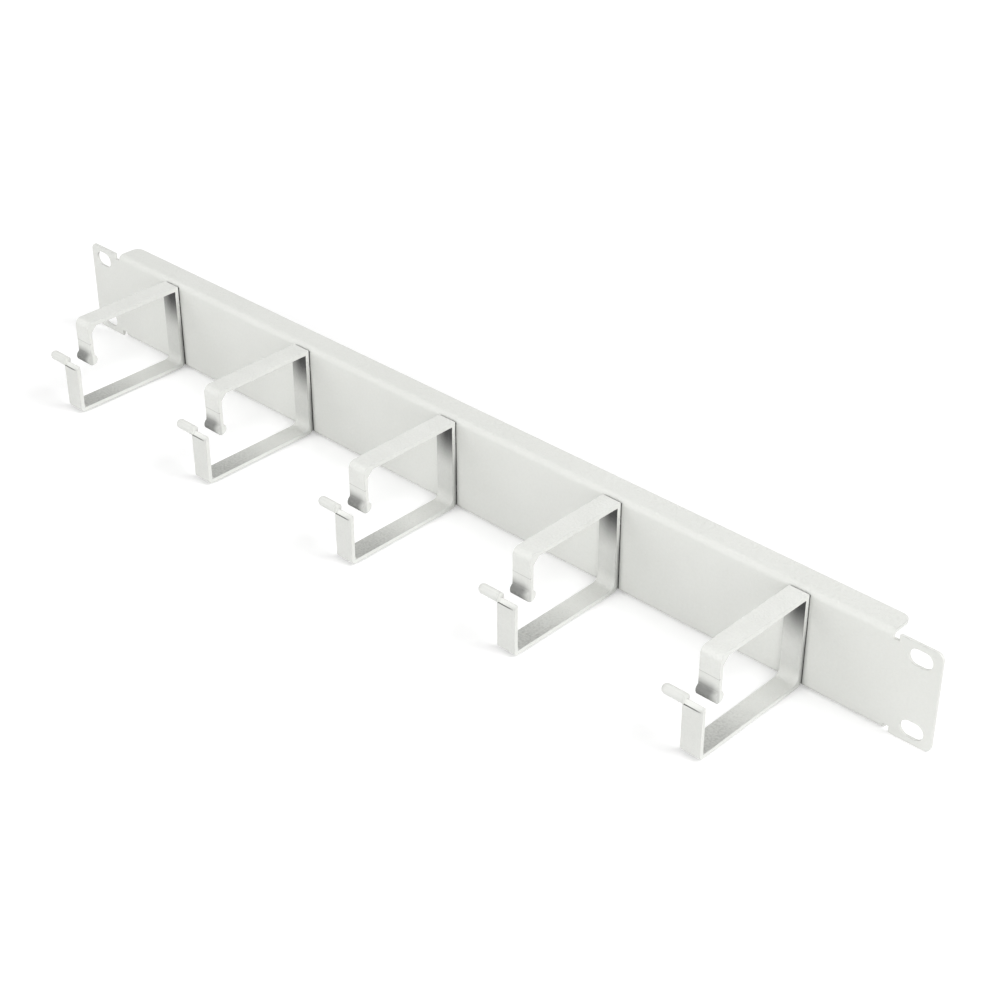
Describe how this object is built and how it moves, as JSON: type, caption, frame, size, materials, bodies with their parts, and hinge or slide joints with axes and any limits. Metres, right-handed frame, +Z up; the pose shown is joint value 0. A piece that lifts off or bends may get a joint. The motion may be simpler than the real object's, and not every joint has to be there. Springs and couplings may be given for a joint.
{
  "type": "horizontal cable manager",
  "caption": "Rack cable manager: a folded steel panel with slotted ears carries a row of open plastic rings, each with a hooked mouth and a side finger, to lead cables along the front.",
  "frame": {"origin": "centre of the four rack slots, on the rear face of the ears", "axes": "+X along the panel to the right seen from the front, +Y to the rear into the rack, +Z up; the rings point to -Y"},
  "size_m": [0.4826, 0.074, 0.044],
  "materials": {
    "powder_coat": "satin light grey powder coat",
    "ring_plastic": "fine grained light grey moulding"
  },
  "bodies": {
    "root": {"panel": "powder_coat", "cable_ring_1": "ring_plastic", "cable_ring_2": "ring_plastic", "cable_ring_3": "ring_plastic", "cable_ring_4": "ring_plastic", "cable_ring_5": "ring_plastic"}
  },
  "joints": []
}
